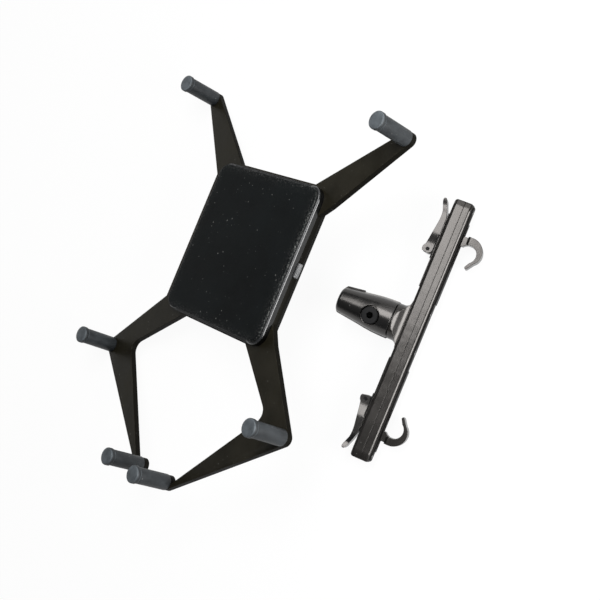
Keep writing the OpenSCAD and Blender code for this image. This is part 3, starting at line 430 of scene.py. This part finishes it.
def soften(node, width, reshape=None):
    """A copy of a solid's mesh with its sharp edges rounded by width, or reshaped if that is 0."""
    mesh = bmesh.new()
    mesh.from_mesh(NODES[node].data)
    bmesh.ops.remove_doubles(mesh, verts=mesh.verts, dist=WELD)
    bmesh.ops.dissolve_limit(mesh, angle_limit=FLAT_WITHIN, verts=mesh.verts, edges=mesh.edges,
                             use_dissolve_boundaries=False)
    if reshape:
        reshape(mesh, node)
    piece = finish_piece(node + "_soft", mesh, [node], shade_angle=40)
    if width:
        rounding = piece.modifiers.new("rounding", "BEVEL")
        rounding.width = width
        rounding.segments = BEVEL_SEGMENTS
        rounding.limit_method = "ANGLE"
        rounding.angle_limit = BEVEL_FROM
        rounding.use_clamp_overlap = True
        rounding.harden_normals = True
    else:
        flatten = piece.modifiers.new("flat faces", "WEIGHTED_NORMAL")
        flatten.weight = 100
        flatten.keep_sharp = True
    return piece


print("ways to make a piece are ready for", len(BODY_OF), "nodes")

# %% [markdown]
# ## The grip pad
#
# The pad is a thin slab of rubber that keeps the tablet from sliding. It is solid rubber and not a
# cushion, so it stays flat, and what shows is its rounded corners and soft edge. A plain slab with
# a bevel would do, but here the rings of the slab are drawn one by one. That gives the edge the
# fuller curve of cut rubber, and a place to write how near each ring is to the rim, for the dust.

# %% Pad
PAD_HALF_U, PAD_HALF_V, PAD_CORNER, PAD_HALF_T = 51.2 * MM, 52.0 * MM, 7.6 * MM, 0.8 * MM
RIM_WIDTH = 7 * MM
SHARPEST_CORNER = 0.2 * MM
CORNER_SIDES = ((1, 1), (-1, 1), (-1, -1), (1, -1))


def rounded_slab(half_x, half_y, corner, profile, steps=10):
    """A closed slab from rings of a rounded square, one for each (inset, height) of the profile."""
    mesh = bmesh.new()
    rings = []
    for inset, height in profile:
        ring = []
        radius = max(corner - inset, SHARPEST_CORNER)
        for quarter, (sx, sy) in enumerate(CORNER_SIDES):
            for i in range(steps + 1):
                turn = math.radians(90 * quarter + 90 * i / steps)
                x = sx * (half_x - corner) + radius * math.cos(turn)
                y = sy * (half_y - corner) + radius * math.sin(turn)
                ring.append(mesh.verts.new((x, y, height)))
        rings.append(ring)
    count = len(rings[0])
    for below, above in zip(rings, rings[1:]):
        for i in range(count):
            j = (i + 1) % count
            mesh.faces.new((below[i], below[j], above[j], above[i]))
    mesh.faces.new(list(reversed(rings[0])))
    mesh.faces.new(rings[-1])
    return mesh


pad = rounded_slab(
    PAD_HALF_U, PAD_HALF_V, PAD_CORNER,
    [(0, -PAD_HALF_T), (0, 0.1 * MM), (0.08 * MM, 0.4 * MM), (0.3 * MM, 0.65 * MM),
     (0.7 * MM, 0.77 * MM), (1.4 * MM, PAD_HALF_T), (3.5 * MM, PAD_HALF_T),
     (RIM_WIDTH, PAD_HALF_T)])
rim = pad.verts.layers.float.new("rim")
for vert in pad.verts:
    inset = min(PAD_HALF_U - abs(vert.co.x), PAD_HALF_V - abs(vert.co.y))
    vert[rim] = max(1 - inset / RIM_WIDTH, 0.0) ** 2
finish_piece("pad_soft", pad, ["grip_pad"], HOLDER)
print("pad made,", round(2 * PAD_HALF_U / MM, 1), "by", round(2 * PAD_HALF_V / MM, 1), "mm")

# %% [markdown]
# ## The finger sleeves
#
# A rubber sleeve on each of the six fingers holds an edge of the tablet. It is a plain tube with a
# fine ring line and a slightly wider collar at the tip. A shape that is round about one axis needs
# only its outline, which is turned about that axis, as on a lathe. The outline's few extra points
# at the tip and in the ring line round those edges.

# %% Sleeves
SLEEVE_R, SLEEVE_LEN, COLLAR_R, COLLAR_LEN = 5.3 * MM, 28.0 * MM, 5.8 * MM, 3.0 * MM
COLLAR_AT = SLEEVE_LEN - COLLAR_LEN
GROOVE_R = SLEEVE_R - 0.3 * MM
SLEEVE_PROFILE = [
    (0, 0), (SLEEVE_R - 0.4 * MM, 0), (SLEEVE_R - 0.1 * MM, 0.12 * MM), (SLEEVE_R, 0.4 * MM),
    (SLEEVE_R, COLLAR_AT - 0.7 * MM), (GROOVE_R, COLLAR_AT - 0.45 * MM),
    (GROOVE_R, COLLAR_AT - 0.15 * MM), (COLLAR_R - 0.08 * MM, COLLAR_AT),
    (COLLAR_R, COLLAR_AT + 0.2 * MM), (COLLAR_R, SLEEVE_LEN - 0.9 * MM),
    (COLLAR_R - 0.12 * MM, SLEEVE_LEN - 0.45 * MM), (COLLAR_R - 0.42 * MM, SLEEVE_LEN - 0.13 * MM),
    (COLLAR_R - 0.9 * MM, SLEEVE_LEN), (2.0 * MM, SLEEVE_LEN - 0.02 * MM),
    (0, SLEEVE_LEN - 0.03 * MM)]


def lathe(profile, steps=48):
    """A mesh turned about Z from (radius, height) pairs; it closes where the radius is 0."""
    mesh = bmesh.new()
    rings = []
    for radius, height in profile:
        if radius <= 0:
            rings.append([mesh.verts.new((0, 0, height))])
        else:
            rings.append([mesh.verts.new((radius * math.cos(math.tau * i / steps),
                                          radius * math.sin(math.tau * i / steps), height))
                          for i in range(steps)])
    for below, above in zip(rings, rings[1:]):
        for i in range(steps):
            j = (i + 1) % steps
            corners = [below[i % len(below)], below[j % len(below)],
                       above[j % len(above)], above[i % len(above)]]
            mesh.faces.new(list(dict.fromkeys(corners)))
    return mesh


for place in ("top_left", "top_right", "side_left", "side_right", "bottom_left", "bottom_right"):
    node = "finger_sleeve_" + place
    tip = HOLDER.to_3x3() @ Vector((0, 0, SLEEVE_LEN / 2))
    foot = Matrix.Translation(middle_of(node) - tip) @ Matrix.Rotation(-HOLDER_TILT, 4, "Y")
    finish_piece(node + "_soft", lathe(SLEEVE_PROFILE), [node], foot)
    print(node, "made,", round(SLEEVE_LEN / MM, 1), "mm long")

# %% [markdown]
# ## The frame and its button
#
# The frame is one moulding of a hub, four arms and six pegs, and the grey button is a small one.
# The solids have their shapes already, so both are only rounded: the frame by almost half a
# millimetre, which gives each arm its thin bright line. The frame's walls stand at right angles to
# the holder's face, and get the matt material.

# %% Frame and button
WALL_WITHIN = 0.2
matt_walls(soften("spider_frame", 0.45 * MM), "satin_black_plastic",
           lambda normal: abs(normal.dot(HOLDER_UP)) < WALL_WITHIN)
soften("release_button", 0.25 * MM)

# %% [markdown]
# ## The bar's two shells
#
# The bar is moulded in two shells that meet in a fine seam line. Its ends are rounded over, and the
# wall of the back shell leans in towards its rims. All of this is too soft for a bevel. It could be
# modelled anew, but the solid is close, so its copy is cut across where the surface has to bend,
# and the points are then moved in the bar's upright frame by smooth rules.

# %% Bar shells
BAR_LOW, BAR_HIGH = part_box("bar_back_shell")
BAR_END = (BAR_HIGH.y - BAR_LOW.y) / 2
BAR_HALF_Z, END_LEN, END_DROP, END_STEPS = 6.5 * MM, 5.5 * MM, 0.26, 6
WALL_AT, LEAN_FROM, LEAN_IN = 4.2 * MM, 3.3 * MM, 1.4 * MM
SEAM_HALF, SEAM_KEPT = 0.25 * MM, 0.4
TO_BAR = CLAMP.inverted()


def cut(mesh, place, direction):
    """Adds the edges where a plane of the clamp's upright frame cuts the mesh."""
    bmesh.ops.bisect_plane(mesh, geom=mesh.verts[:] + mesh.edges[:] + mesh.faces[:], dist=1e-6,
                           plane_co=CLAMP @ Vector(place),
                           plane_no=CLAMP.to_3x3() @ Vector(direction))


def ease_bar(mesh, node):
    """Rounds the bar's ends over, leans the back wall's rims inwards and narrows the seam line."""
    places = [TO_BAR @ vert.co for vert in mesh.verts]
    ends = [place for place in places if abs(place.y) > BAR_END - END_LEN]
    middle = (max(place.z for place in ends) + min(place.z for place in ends)) / 2
    back = node == "bar_back_shell"
    seam = min(place.x for place in places) if back else max(place.x for place in places)
    for side in (-1, 1):
        for step in range(END_STEPS):
            cut(mesh, (0, side * (BAR_END - END_LEN * (1 - step / END_STEPS)), 0), (0, 1, 0))
        if back:
            cut(mesh, (0, 0, middle + side * LEAN_FROM), (0, 0, 1))
    for vert in mesh.verts:
        local = TO_BAR @ vert.co
        height = local.z - middle
        if abs(local.y) > BAR_END - END_LEN:
            share = (abs(local.y) - BAR_END + END_LEN) / END_LEN
            local.z = middle + height * (1 - END_DROP * share * share)
        if abs(local.x - seam) < SEAM_HALF:
            local.x = seam + (local.x - seam) * SEAM_KEPT
        if back and local.x > seam + WALL_AT:
            lean = (abs(height) - LEAN_FROM) / (BAR_HALF_Z - LEAN_FROM)
            local.x -= LEAN_IN * min(max(lean, 0.0), 1.0)
        vert.co = CLAMP @ local


LEANING_WALL = 0.85
for shell in ("bar_front_shell", "bar_back_shell"):
    matt_walls(soften(shell, 0, reshape=ease_bar), "smooth_black_plastic",
               lambda normal: abs(normal.dot(BAR_ACROSS)) > LEANING_WALL)

# %% [markdown]
# ## The levers
#
# Each lever closes a hook with its cam. It is narrow at its ear beside the pin, rises to its full
# width in a soft slope, and flares again at the tip, where the finger pulls. The solid is one
# width, so its copy is cut into slices of a millimetre, and each slice is made narrower or wider
# by where it lies along the lever. It is rounded after that.

# %% Levers
EAR_IN, EAR_SLOPE = 1.2 * MM, (3 * MM, 12 * MM)
TIP_OUT, TIP_SLOPE = 0.9 * MM, (23 * MM, 29.5 * MM)
TIP_IN, TIP_END = 0.8 * MM, (29 * MM, 34 * MM)
LEVER_SLICES, CHEEK_AT = 33, 3.5 * MM


def smooth_step(value, start, end):
    share = min(max((value - start) / (end - start), 0.0), 1.0)
    return share * share * (3 - 2 * share)


def flare_lever(mesh, node):
    """Narrows the lever's ear and flares its tip, so that its sides rise in two soft slopes."""
    pin = middle_of(node.replace("lever", "lever_pin"))
    side = 1 if node.startswith("upper") else -1
    for reach in range(1, LEVER_SLICES + 1):
        bmesh.ops.bisect_plane(mesh, geom=mesh.verts[:] + mesh.edges[:] + mesh.faces[:],
                               plane_co=(0, pin.y + side * reach * MM, 0), plane_no=(0, 1, 0))
    to_clamp = CLAMP.to_3x3().inverted()
    for vert in mesh.verts:
        local = to_clamp @ (vert.co - pin)
        reach = side * local.y
        inset = EAR_IN * (1 - smooth_step(reach, *EAR_SLOPE))
        inset -= TIP_OUT * smooth_step(reach, *TIP_SLOPE)
        inset += TIP_IN * smooth_step(reach, *TIP_END)
        if abs(local.z) > CHEEK_AT:
            local.z -= math.copysign(inset, local.z)
        vert.co = pin + to_clamp.inverted() @ local


for node in ("upper_lever", "lower_lever"):
    lever = soften(node, 0.3 * MM, reshape=flare_lever)
    print(lever.name, "has", len(lever.data.polygons), "faces before rounding")

# %% [markdown]
# ## Jaws, hooks and screw
#
# The far jaw has a raised lip beside the tip of the nose, which falls away outwards. Its copy is
# cut along the foot of the lip and at its end, and the points beyond both cuts go down by half of
# their distance. The two hooks and the head of the clamp screw have the solids' shapes and only
# get rounded edges.

# %% Jaw, hooks and screw
LIP_FOOT, LIP_LEN, LIP_FALL = 8.4 * MM, 13.5 * MM, 0.5


def slope_lip(mesh, node):
    """Slopes the raised lip beside the nose's tip down and outwards."""
    middle = TO_BAR @ middle_of("near_jaw")
    tip = min((TO_BAR @ vert.co).x for vert in mesh.verts)
    cut(mesh, (0, middle.y + LIP_FOOT, 0), (0, 1, 0))
    cut(mesh, (tip + LIP_LEN, 0, 0), (1, 0, 0))
    for vert in mesh.verts:
        local = TO_BAR @ vert.co
        if local.x < tip + LIP_LEN:
            local.z -= LIP_FALL * max(local.y - middle.y - LIP_FOOT, 0.0)
            vert.co = CLAMP @ local


soften("far_jaw", 0, reshape=slope_lip)
for node, width in (("upper_hook", 0.5 * MM), ("lower_hook", 0.5 * MM), ("clamp_screw", 0.2 * MM)):
    soften(node, width)
print("jaw, hooks and screw made")

# %% [markdown]
# ## Floor and backdrop
#
# The object lies on a pale sheet that bends up far away, as in a small studio, so that no horizon
# shows. A white floor could be lit until it is white, but that light would wash out the object.
# Here the camera, the gloss of the plastic and clear things see a floor that is almost white by
# itself, and all other light meets a plain pale sheet. A trace of that sheet is left for the
# camera, and it keeps the soft shadow.

# %% Floor
FLOOR_STEPS, FLOOR_DROP = 96, 0.2 * MM
FLOOR_PROFILE = [(0, 0), (2.6, 0), (2.85, 0.04), (2.96, 0.14), (3.0, 0.3), (3.0, 0.75)]
PALE, WHITE_SHARE = (0.8, 0.8, 0.8, 1), 0.94


def floor_material():
    made = bpy.data.materials.new("pale floor")
    made.use_nodes = True
    tree = made.node_tree
    tree.nodes.clear()
    path = add(tree, "ShaderNodeLightPath")
    matt = add(tree, "ShaderNodeBsdfDiffuse", Color=PALE)
    glow = add(tree, "ShaderNodeEmission", Strength=1.0)
    seen = path.outputs["Is Camera Ray"]
    for kind in ("Is Glossy Ray", "Is Transmission Ray"):
        seen = sum_node(tree, "MAXIMUM", seen, path.outputs[kind])
    mix = add(tree, "ShaderNodeMixShader")
    tree.links.new(sum_node(tree, "MULTIPLY", seen, WHITE_SHARE), mix.inputs[0])
    tree.links.new(matt.outputs[0], mix.inputs[1])
    tree.links.new(glow.outputs[0], mix.inputs[2])
    output = add(tree, "ShaderNodeOutputMaterial")
    tree.links.new(mix.outputs[0], output.inputs["Surface"])
    return made


sheet = lathe(FLOOR_PROFILE, FLOOR_STEPS)
floor_data = bpy.data.meshes.new("floor")
sheet.to_mesh(floor_data)
sheet.free()
floor = bpy.data.objects.new("floor", floor_data)
floor.location.z = -FLOOR_DROP
bpy.context.collection.objects.link(floor)
floor_data.materials.append(floor_material())
print("floor made,", 2 * FLOOR_PROFILE[-1][0], "m across")

# %% [markdown]
# ## Light
#
# Black plastic shows its lights more than its colour. A big soft light above lies as a pale sheen
# on the bar and the arms, one on the right draws the long highlight on the neck, the plate's edge
# and the sleeves, and a weak one on the far side lifts the far edges. The world adds a little light
# from everywhere, so that no hollow is quite black.

# %% Lights
AMBIENT = 0.1
SOFTBOXES = (  # name, place, aim, width, height, watts
    ("overhead", (0.05, 0.3, 0.75), (0.05, 0.3, 0), 0.34, 0.52, 5.9),
    ("far side", (0.05, 0.76, 0.54), (0.07, 0.02, 0.02), 0.4, 0.5, 1.5),
    ("right side", (0.54, 0.05, 0.2), (0.08, 0.02, 0.02), 0.34, 0.34, 5.0),
)


def softbox(name, place, aim, width, height, watts):
    light = bpy.data.lights.new(name, "AREA")
    light.shape = "RECTANGLE"
    light.size = width
    light.size_y = height
    light.energy = watts
    lamp = bpy.data.objects.new(name, light)
    lamp.location = place
    lamp.rotation_euler = (Vector(aim) - Vector(place)).to_track_quat("-Z", "Y").to_euler()
    bpy.context.collection.objects.link(lamp)


for values in SOFTBOXES:
    softbox(*values)

world = bpy.data.worlds.new("studio")
bpy.context.scene.world = world
world.use_nodes = True
world.node_tree.nodes.clear()
dim = add(world.node_tree, "ShaderNodeBackground", Strength=AMBIENT)
sky = add(world.node_tree, "ShaderNodeOutputWorld")
world.node_tree.links.new(dim.outputs[0], sky.inputs["Surface"])
print("lights made:", [values[0] for values in SOFTBOXES])

# %% [markdown]
# ## Camera
#
# The camera stands where the photograph's did. Its place and its three directions come from
# matching the corners of the pad, the six sleeves and the bar in the picture with the same points
# of the model. They are written as directions, because angles would hide what they mean.

# %% Camera
CAMERA_AT = (0.3583, 0.0041, 0.6753)
CAMERA_RIGHT = Vector((0.8253, 0.3837, -0.4143))
CAMERA_UP = Vector((-0.3356, 0.9233, 0.1865))
CAMERA_LOOK = Vector((-0.4541, 0.0148, -0.8908))
SENSOR_MM, FOCAL_PIXELS, PICTURE_PIXELS = 36.0, 1127.0, 600.0

lens = bpy.data.cameras.new("photo camera")
lens.sensor_width = SENSOR_MM
lens.lens = SENSOR_MM * FOCAL_PIXELS / PICTURE_PIXELS
camera = bpy.data.objects.new("photo camera", lens)
turn = Matrix((CAMERA_RIGHT, CAMERA_UP, -CAMERA_LOOK)).transposed().to_4x4()
camera.matrix_world = Matrix.Translation(CAMERA_AT) @ turn
bpy.context.collection.objects.link(camera)
bpy.context.scene.camera = camera
bpy.context.scene.view_settings.view_transform = "Standard"
print("camera at", [round(c, 3) for c in camera.location], "lens", round(lens.lens, 1), "mm")
